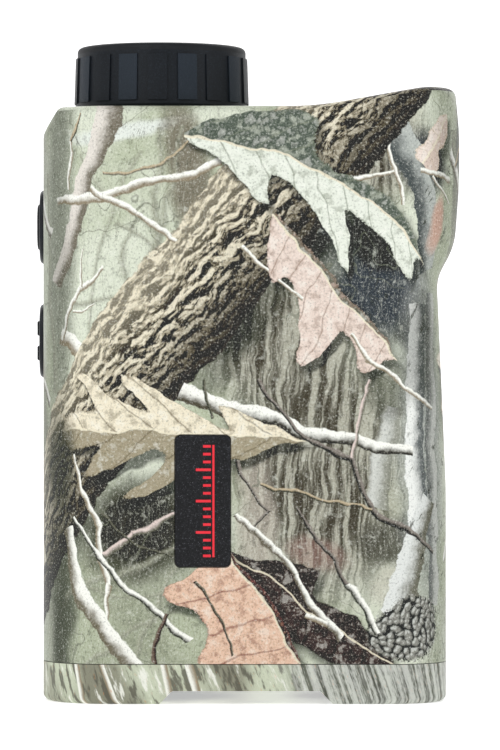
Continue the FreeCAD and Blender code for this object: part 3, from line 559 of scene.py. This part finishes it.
        orange = dict(
            base=(-2.5, 24.8),
            tip=(10.0, 5.0),
            upper=slim,
            lower=((0, 0.2), (0.05, 0.5), (0.18, 0.92), (0.34, 0.7), (0.55, 0.78), (0.7, 0.95), (0.8, 0.7),
                   (0.96, 0.33), (1, 0.1)),
            sweep=-0.3,
            broad=1.25,
        )
        self.leaf(orange, colour(218, 178, 148), UMBER, RUST, 4)
        corner = dict(
            base=(36.5, 97.5),
            tip=(29.0, 89.5),
            upper=((0, 0.2), (0.3, 0.5), (0.5, 0.3), (0.8, 0.6), (1, 0)),
            lower=((0, 0.2), (0.4, 0.5), (0.6, 0.35), (0.85, 0.4), (1, 0)),
            sweep=0.2,
        )
        self.leaf(corner, colour(224, 208, 196), colour(206, 184, 170), TAN, 5)
        self.zone(colour(206, 164, 142), (33.5, 80.0), (1.8, 5.0), -10)
        on_grip_side = dict(rosy, base=(56.0, 66.0), tip=(41.5, 46.0))
        self.leaf(on_grip_side, colour(222, 212, 190), DUSK, colour(128, 112, 90), 8)
        on_key_side = dict(orange, base=(-54.5, 38.0), tip=(-41.0, 23.0))
        self.leaf(on_key_side, colour(214, 206, 186), UMBER, BARK_MID, 5)

    def sides(self):
        """What grows on the grip side, beyond s = 38, and on the key side, beyond s = -38."""
        self.zone(DUSK, (47.0, 84.0), (8.0, 16.0), 10, 0.8)
        self.zone(SHADOW, (46.5, 54.0), (9.0, 13.0), -20, 0.85)
        self.zone(DUSK, (49.0, 12.0), (9.0, 11.0), 0, 0.7)
        far = dict(lit=BIRCH, shade=colour(112, 116, 108), blur=0.4)
        self.twig((45.0, 104.0), (49.5, -4.0), 5.6, 7.0, 2.5, **far)
        self.twig((38.0, 92.0), (57.0, 76.0), 2.2, 1.7, 1.0, shade=BRANCH_SHADE)
        self.twig((57.0, 37.0), (38.5, 24.0), 1.7, 1.2, 0.8, shade=BRANCH_SHADE)
        self.twig((52.0, 33.0), (44.0, 12.0), 0.9, 0.6, -0.8)
        self.twig((40.5, 89.5), (49.0, 100.0), 0.9, 0.6, 0.5, lit=TAN, shade=SHADOW)
        self.twig((41.0, 72.0), (57.0, 70.0), 0.7, 0.5, 0.6, lit=TAN, shade=SHADOW)
        self.zone(DUSK, (-47.0, 90.0), (8.0, 9.0), 0, 0.4)
        self.zone(DUSK, (-47.0, 44.0), (9.0, 13.0), 20, 0.5)
        self.twig((-38.5, 78.0), (-55.0, 96.0), 1.9, 1.4, -0.8, shade=BRANCH_SHADE)
        self.twig((-45.5, 86.5), (-55.0, 84.0), 0.8, 0.6, 0.4)
        self.twig((-38.5, 50.0), (-55.0, 58.0), 1.6, 1.1, 0.8, shade=BRANCH_SHADE)
        self.twig((-44.0, 53.5), (-49.0, 68.0), 0.8, 0.5, 0.6, lit=TAN, shade=SHADOW)

    def front_twigs(self):
        """The sharp twigs that lie over everything else."""
        dark = dict(lit=colour(138, 130, 122), shade=CHARCOAL)
        blush = dict(lit=colour(214, 196, 188), shade=DUSK)
        self.twig((2.2, 54.0), (9.6, 44.8), 0.8, 0.8, 0.4, **dark)
        self.twig((9.4, 45.0), (17.9, 39.9), 0.9, 1.0, 0.3, **dark)
        self.twig((17.7, 40.1), (21.7, 32.2), 0.9, 0.9, 0.5, **dark)
        self.twig((21.5, 32.5), (34.0, 25.0), 1.0, 0.9, 0.3, **dark)
        self.twig((17.8, 40.2), (20.6, 54.0), 0.8, 0.6, -0.4, **blush)
        self.twig((19.8, 57.4), (34.0, 49.6), 0.8, 0.7, 0.5)
        self.twig((5.4, 70.0), (9.6, 67.2), 0.6, 0.6, 0.0)
        self.twig((16.6, 61.0), (20.5, 57.0), 0.7, 0.7, 0.0)
        self.twig((-6.8, 54.0), (-5.2, 47.2), 0.5, 0.5, 0.2, lit=DUSK, shade=SHADOW)
        self.twig((-1.2, 40.2), (3.3, 32.4), 0.5, 0.45, 0.7, **dark)
        self.twig((3.3, 32.6), (0.8, 28.9), 0.45, 0.4, 0.3, **dark)
        self.twig((2.2, 36.8), (21.2, 32.7), 0.55, 0.45, 0.4, lit=TAN, shade=SHADOW)
        self.twig((-2.4, 32.0), (7.8, 21.7), 0.9, 1.1, -0.3, shade=BRANCH_SHADE)
        self.twig((7.6, 21.9), (15.6, 11.0), 1.1, 1.5, 0.0, shade=BRANCH_SHADE)
        self.twig((10.0, 15.4), (13.5, 13.4), 1.0, 0.9, 0.0)
        self.twig((8.2, 32.6), (16.8, 20.0), 0.5, 0.8, 0.2, **dark)
        self.twig((16.6, 20.2), (22.6, 12.4), 1.0, 1.2, 0.0, shade=SHADOW)
        self.twig((-30.4, 41.6), (-24.4, 29.0), 0.7, 1.0, 0.6)
        self.twig((-24.5, 29.2), (-23.0, 20.0), 1.0, 1.1, 0.3)
        self.twig((-22.8, 20.3), (-23.8, 13.6), 1.1, 0.7, 0.3)
        self.twig((-32.5, 29.8), (-28.4, 17.6), 2.6, 3.0, 0.4, shade=BOUGH_SHADE)
        self.twig((-28.9, 18.2), (-11.0, -1.5), 3.0, 2.8, 0.7, shade=BOUGH_SHADE)
        self.twig((-31.0, 31.6), (-9.8, 10.5), 0.9, 1.1, 0.6, shade=SHADOW)
        self.twig((-23.4, 24.4), (-18.7, 29.1), 0.9, 0.8, 0.3, **blush)
        self.twig((-19.0, 29.0), (-11.0, 31.4), 0.8, 0.7, 0.2, **blush)
        self.twig((-24.6, 31.4), (-12.6, 24.4), 0.45, 0.35, 0.6, lit=DUSK, shade=SHADOW)
        self.twig((-13.0, 14.8), (-15.2, 6.6), 0.8, 0.9, 0.2, lit=colour(120, 104, 92), shade=UMBER)
        self.twig((28.5, 88.6), (37.0, 87.6), 0.9, 0.8, 0.0)
        self.twig((31.0, 87.6), (37.5, 83.6), 0.6, 0.5, 0.0)
        self.twig((-9.0, 20.5), (-2.0, 8.0), 0.5, 0.4, -0.8, lit=DUSK, shade=UMBER)

    def rubble(self):
        """Knobbly bark at the lower right."""
        along, across = self.placed_from((28.0, 12.5), 15, (8.0, 5.5))
        edge = along * along + across * across + (self.fleck - 0.5) * 0.8
        tone = self.mix(colour(140, 140, 132), CHARCOAL, self.step(0.3, 0.7, self.knobs))
        tone = self.mix(tone, BIRCH, self.step(0.08, 0.4, self.knobs_beyond - self.knobs) * 0.8)
        self.lay(tone, self.step(1.05, 0.8, edge))

    def finished(self):
        """The whole picture with the film's own fine grain, and painted shade towards its key-side and
        grip-side edges.
        """
        self.distance_behind()
        self.birches()
        self.sides()
        self.middle_wood()
        self.fallen_leaves()
        self.rubble()
        # Painted shade: deeper darkening low on the key-side edge.
        self.zone(SHADOW, (-35.0, 23.0), (6.0, 20.0), 0, 0.4)
        self.front_twigs()
        # Painted shade: the film darker towards the key side and the grip side, where the casing's rounded
        # edges turn from the light.
        self.lay(SHADOW, self.step(-30.0, -35.5, self.s) * 0.42)
        self.lay(SHADOW, self.step(28.0, 36.0, self.s) * 0.36)
        self.lay(CHARCOAL, self.step(0.46, 0.24, self.fleck) * 0.4)
        self.lay(CHALK, self.step(0.56, 0.76, self.fleck) * 0.35)
        self.lay(CHARCOAL, self.step(0.44, 0.2, self.grain) * 0.42)
        self.lay(CHALK, self.step(0.56, 0.8, self.grain) * 0.28)
        crisp = self.node("BrightContrast")
        self.put(crisp.inputs["Color"], self.picture)
        crisp.inputs["Contrast"].default_value = 0.14
        faded = self.node("HueSaturation")
        self.put(faded.inputs["Color"], Field(self, crisp.outputs["Color"]))
        faded.inputs["Saturation"].default_value = 0.8
        return Field(self, faded.outputs["Color"])


def around_side(web, x, y):
    """How far a point is from the outermost width, and what that adds to s round the two narrow sides."""
    inward = half_width - abs(y)
    return inward, web.math("SIGN", x) * inward * web.step(WRAP_START, WRAP_FULL, abs(x))


def film_place(web):
    """Where a point of a shell lies on the film, which wraps the sides and folds over the rear face."""
    x, y, z = web.split(web.position())
    _, _, up = web.split(web.normal())
    rear = web.math("GREATER_THAN", up, 0.6)
    inward, around = around_side(web, x, y)
    s = x + around * (1.0 - rear)
    t = z + inward * rear
    far_side = web.math("GREATER_THAN", y, 0.0)
    turned = web.math("MULTIPLY_ADD", t, -2.0, FAR_TURN) * far_side
    return s + far_side * FAR_SHIFT, t + turned


def satin(web, shader, picture):
    """The film's surface under its picture."""
    web.put(shader.inputs["Base Color"], picture)
    web.put(shader.inputs["Roughness"], 0.36 + web.fleck * 0.2)
    bump(web, shader, web.noise(web.position(), 5.0, 2.0, 0.6, flat=False), 0.04, 0.35)


def print_material(brushes):
    """Film with a satin finish. The far shell has the same sheet the other way up."""
    made, shader, _ = material("woodland_print", Specular_IOR_Level=0.3)
    web = Print(made.node_tree, brushes)
    web.set_out(*film_place(web))
    satin(web, shader, web.finished())
    return made


def bezel_material(brushes):
    """The same film drawn out over the front frame, so that everything runs into upright streaks."""
    made, shader, _ = material("bezel_print", Specular_IOR_Level=0.3)
    web = Print(made.node_tree, brushes)
    x, y, z = web.split(web.position())
    _, around = around_side(web, x, y)
    web.set_out(x + around + z * 0.35, z * 0.28, 0.6)
    pale, drab = colour(196, 203, 180), colour(132, 132, 114)
    web.lay(web.mix(pale, drab, web.step(0.4, 0.62, web.haze)), 1.0)
    web.lay(colour(84, 82, 70), web.step(0.5, 0.62, web.mottle) * 0.85)
    web.lay(CHALK, web.step(0.42, 0.3, web.mottle) * 0.85)
    furrows = web.mix(SHADOW, BIRCH, web.step(0.38, 0.58, web.streaks * 0.7 + web.fleck * 0.3))
    web.lay(furrows, web.step(4.0, 11.0, web.s + (web.haze - 0.5) * 12) * 0.85)
    for at, lean, width in ((-29.0, 2.0, 1.1), (-21.5, -0.6, 0.9), (-13.5, 2.6, 1.0), (-8.0, 0.8, 1.4)):
        web.twig((at, -2.0), (at + lean, 3.0), width, width)
    web.lay(colour(205, 132, 70), web.step(0.66, 0.76, web.fleck) * 0.4)
    web.lay(CHARCOAL, web.step(0.42, 0.2, web.grain) * 0.45)
    satin(web, shader, web.picture)
    return made


# ---- plain materials ----------------------------------------------------------------------
def moulded(name, tone, roughness, grain=6.0, depth=0.03, worn=None, **constants):
    """Plastic or rubber with a fine moulded grain and a slight change of tone over the part."""
    made, shader, web = material(name, **constants)
    place = web.position()
    patch = web.noise(place, 0.35, 3.0, 0.6, flat=False)
    speck = web.noise(place, grain, 3.0, 0.65, flat=False)
    lighter = worn or tuple(min(1.0, c * 1.6 + 0.004) for c in tone[:3]) + (1,)
    web.put(shader.inputs["Base Color"], web.mix(tone, lighter, web.step(0.35, 0.75, patch) * 0.6))
    web.put(shader.inputs["Roughness"], roughness - 0.08 + (speck * 0.1 + patch * 0.08))
    bump(web, shader, speck, depth)
    return made


def ring_material():
    """Focusing ring: every second pad has a finer, lighter grain."""
    made, shader, web = material("ring_plastic", Specular_IOR_Level=0.22)
    place = web.position()
    x, y, z = web.split(place)
    middle = (ring_low + ring_high) / 2 / MM
    across, deep = x - middle.x, y - middle.y
    turn = web.math("ARCTAN2", deep, across) * (180 / math.pi) + (360 + PAD_START)
    every_second = web.math("PINGPONG", turn / PAD_PITCH, 1.0)
    reach = web.math("SQRT", across * across + deep * deep)
    on_pad = web.math("GREATER_THAN", reach + (z - ring_low.z / MM) * PAD_LEAN, PAD_FACE)
    fine = on_pad * web.math("GREATER_THAN", every_second, 0.6)
    speck = web.noise(place, 5.0, 3.0, 0.7, flat=False)
    tone = web.mix(BLACK_PLASTIC, colour(30, 38, 47), fine)
    web.put(shader.inputs["Base Color"], web.mix(tone, colour(46, 56, 66), web.step(0.45, 0.8, speck) * 0.5))
    web.put(shader.inputs["Roughness"], 0.40 + speck * 0.16 + fine * 0.08)
    bump(web, shader, speck * (0.45 + fine * 0.8), 0.045)
    return made


def badge_material():
    """Black plate with a sparkling grain of fine metallic dust."""
    made, shader, web = material("badge_black", Specular_IOR_Level=0.2)
    place = web.position()
    dust = web.cells(place, 4.2, flat=False)
    patch = web.noise(place, 3.2, 3.0, 0.7, flat=False)
    glint = web.step(0.30, 0.14, dust) * web.step(0.42, 0.62, patch)
    tone = web.mix(colour(15, 16, 18), colour(34, 35, 39), web.step(0.4, 0.7, patch))
    web.put(shader.inputs["Base Color"], web.mix(tone, colour(120, 122, 128), glint * 0.75))
    web.put(shader.inputs["Metallic"], glint * 0.6)
    web.put(shader.inputs["Roughness"], 0.46 - glint * 0.18)
    bump(web, shader, web.cells(place, 3.2, flat=False), 0.03)
    return made


def metal(name, tone, roughness, grain=(1.0, 1.0, 14.0), **constants):
    """Machined metal: fine lines that run round or along the part."""
    made, shader, web = material(name, Metallic=1.0, **constants)
    lines = web.node("VectorMath", operation="MULTIPLY")
    web.put(lines.inputs[0], web.position())
    lines.inputs[1].default_value = grain
    scratch = web.noise(Field(web, lines.outputs[0]), 1.2, 3.0, 0.6, flat=False)
    darker = tuple(c * 0.72 for c in tone[:3]) + (1,)
    web.put(shader.inputs["Base Color"], web.mix(darker, tone, web.step(0.3, 0.6, scratch)))
    web.put(shader.inputs["Roughness"], roughness - 0.07 + scratch * 0.16)
    bump(web, shader, scratch, 0.015)
    return made


def glass(name, tint, coating):
    """Coated optical glass: a faint colour in the reflection, and hardly any dust."""
    made, shader, web = material(
        name, Transmission_Weight=1.0, IOR=1.52, Coat_Weight=0.55, Coat_Roughness=0.02, Coat_IOR=1.7,
        Coat_Tint=coating,
    )
    dust = web.noise(web.position(), 1.4, 4.0, 0.7, flat=False)
    web.put(shader.inputs["Base Color"], web.mix(tint, CHALK, web.step(0.66, 0.9, dust) * 0.2))
    web.put(shader.inputs["Roughness"], 0.015 + web.step(0.55, 0.85, dust) * 0.05)
    return made


def circuit_board():
    """Green solder mask with copper tracks showing through."""
    made, shader, web = material("circuit_board", Specular_IOR_Level=0.5, Coat_Weight=0.4, Coat_Roughness=0.2)
    place = web.position()
    tracks = web.cells(place, 0.55, feature="DISTANCE_TO_EDGE", flat=False)
    pads = web.cells(place, 0.8, flat=False)
    tone = web.mix(colour(22, 84, 48), colour(46, 122, 72), web.step(0.09, 0.05, tracks))
    web.put(shader.inputs["Base Color"], web.mix(tone, colour(196, 168, 96), web.step(0.16, 0.12, pads)))
    web.put(shader.inputs["Roughness"], 0.34 + web.step(0.16, 0.12, pads) * 0.1)
    bump(web, shader, web.step(0.09, 0.05, tracks), 0.03)
    return made


def battery_wrap():
    """Foil sleeve: gold with a dark band at the plus end, under a clear film."""
    made, shader, web = material("battery_wrap", Metallic=0.7, Coat_Weight=0.7, Coat_Roughness=0.08)
    _, battery_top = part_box("battery")
    place = web.position()
    _, _, z = web.split(place)
    scuff = web.noise(place, 1.5, 3.0, 0.6, flat=False)
    band = web.step(-7.5, -7.2, z - battery_top.z / MM)
    tone = web.mix(colour(205, 172, 78), colour(36, 38, 44), band)
    worn = web.mix(tone, colour(150, 128, 70), web.step(0.55, 0.8, scuff) * 0.4)
    web.put(shader.inputs["Base Color"], worn)
    web.put(shader.inputs["Roughness"], 0.24 + scuff * 0.16)
    bump(web, shader, scuff, 0.02)
    return made


def dress():
    """Gives every CAD node the material of its slot."""
    twig_numbers = ("Length", "Half", "Taper", "Bend", "Blur", "Strength", "Lit side")
    brushes = {
        "zone": brush("zone", ("Edge", "Strength"), ("Tone",), build_zone),
        "twig": brush("twig", twig_numbers, ("Lit", "Shade"), build_twig),
    }
    made = {
        "printed_shell": print_material(brushes),
        "printed_bezel": bezel_material(brushes),
        "seal_rubber": moulded("seal_rubber", colour(24, 24, 25), 0.62, 5.0, 0.02),
        "badge_black": badge_material(),
        "scale_red": moulded("scale_red", colour(224, 22, 44), 0.42, 7.0, 0.012, colour(236, 44, 60)),
        "steel": metal("steel", colour(188, 190, 194), 0.32),
        "spring_steel": metal("spring_steel", colour(200, 202, 206), 0.24, (1.0, 1.0, 4.0)),
        "brass": metal("brass", colour(212, 176, 98), 0.3),
        "black_anodised": moulded("black_anodised", colour(30, 31, 33), 0.44, 9.0, 0.02, Metallic=0.6),
        "plate_aluminium": metal("plate_aluminium", colour(190, 192, 196), 0.36, (14.0, 1.0, 1.0)),
        "coated_glass": glass("coated_glass", colour(232, 244, 240), colour(120, 220, 180)),
        "laser_glass": glass("laser_glass", colour(190, 60, 66), colour(230, 120, 150)),
        "clear_glass": glass("clear_glass", colour(240, 246, 248), colour(190, 190, 240)),
        "circuit_board": circuit_board(),
        "inner_plastic": moulded("inner_plastic", colour(32, 33, 36), 0.5, 5.0, 0.03),
        "ribbon_amber": moulded("ribbon_amber", colour(178, 104, 34), 0.3, 3.0, 0.01),
        "ring_plastic": ring_material(),
        "soft_rubber": moulded("soft_rubber", BLACK_RUBBER, 0.56, 4.5, 0.035, Specular_IOR_Level=0.25),
        "key_plastic": moulded("key_plastic", BLACK_PLASTIC, 0.4, 6.0, 0.03, Specular_IOR_Level=0.25),
        "battery_wrap": battery_wrap(),
    }
    for part in frame["record"]["subparts"]:
        node = frame["nodes"][part["node"]]
        node.data.materials.clear()
        node.data.materials.append(made[part["material_slot"]])


# ---- studio -------------------------------------------------------------------------------
def floor():
    """Pale sweep: flat under the object, curving up well behind it."""
    width, front, back, radius, height, steps = 6.0, -2.5, 1.6, 0.6, 3.0, 16
    profile = [(front, 0.0), (back - radius, 0.0)]
    for i in range(1, steps + 1):
        angle = math.radians(i * 90 / steps)
        profile.append((back - radius + radius * math.sin(angle), radius - radius * math.cos(angle)))
    profile.append((back, height))
    points = [(x, y, z) for x in (-width / 2, width / 2) for y, z in profile]
    count = len(profile)
    faces = [(i, i + 1, count + i + 1, count + i) for i in range(count - 1)]
    mesh = bpy.data.meshes.new("studio_floor")
    mesh.from_pydata(points, [], faces)
    mesh.shade_smooth()
    sweep = bpy.data.objects.new("studio_floor", mesh)
    bpy.context.scene.collection.objects.link(sweep)
    made, shader, web = material("studio_paper", Roughness=0.9, Specular_IOR_Level=0.1)
    fibre = web.noise(web.position(), 0.02, 4.0, 0.6, flat=False)
    web.put(shader.inputs["Base Color"], web.mix(colour(246, 246, 246), colour(250, 250, 250), fibre))
    shader.inputs["Emission Color"].default_value = (1, 1, 1, 1)
    shader.inputs["Emission Strength"].default_value = 0.45
    mesh.materials.append(made)


def lamp(name, at, size, power):
    """Soft rectangular light aimed at the middle of the object."""
    light = bpy.data.lights.new(name, "AREA")
    light.shape = "RECTANGLE"
    light.size, light.size_y = size
    light.energy = power
    holder = bpy.data.objects.new(name, light)
    holder.location = at
    holder.rotation_euler = (centre - Vector(at)).to_track_quat("-Z", "Y").to_euler()
    bpy.context.scene.collection.objects.link(holder)


def studio():
    floor()
    world = bpy.data.worlds.new("studio_world")
    world.use_nodes = True
    world.node_tree.nodes["Background"].inputs["Color"].default_value = (1, 1, 1, 1)
    world.node_tree.nodes["Background"].inputs["Strength"].default_value = 0.5
    bpy.context.scene.world = world
    lamp("key_light", (-0.7, -0.9, 0.9), (0.8, 0.8), 6.5)
    lamp("fill_light", (0.9, -0.6, 0.5), (0.7, 1.0), 2.2)
    lamp("back_light", (0.1, 0.9, 1.0), (1.2, 0.6), 4.5)
    bpy.context.scene.view_settings.view_transform = "Standard"


def camera():
    lens = bpy.data.cameras.new("camera")
    lens.sensor_width = SENSOR
    lens.lens = SENSOR * CAMERA_DISTANCE / VIEW_HEIGHT
    lens.clip_start = 0.01
    lens.clip_end = 20.0
    eye = bpy.data.objects.new("camera", lens)
    eye.location = (centre.x + 0.5 * MM, centre.y - CAMERA_DISTANCE, centre.z - 0.5 * MM)
    eye.rotation_euler = (math.radians(90), 0.0, 0.0)
    bpy.context.scene.collection.objects.link(eye)
    bpy.context.scene.camera = eye


dress()
studio()
camera()
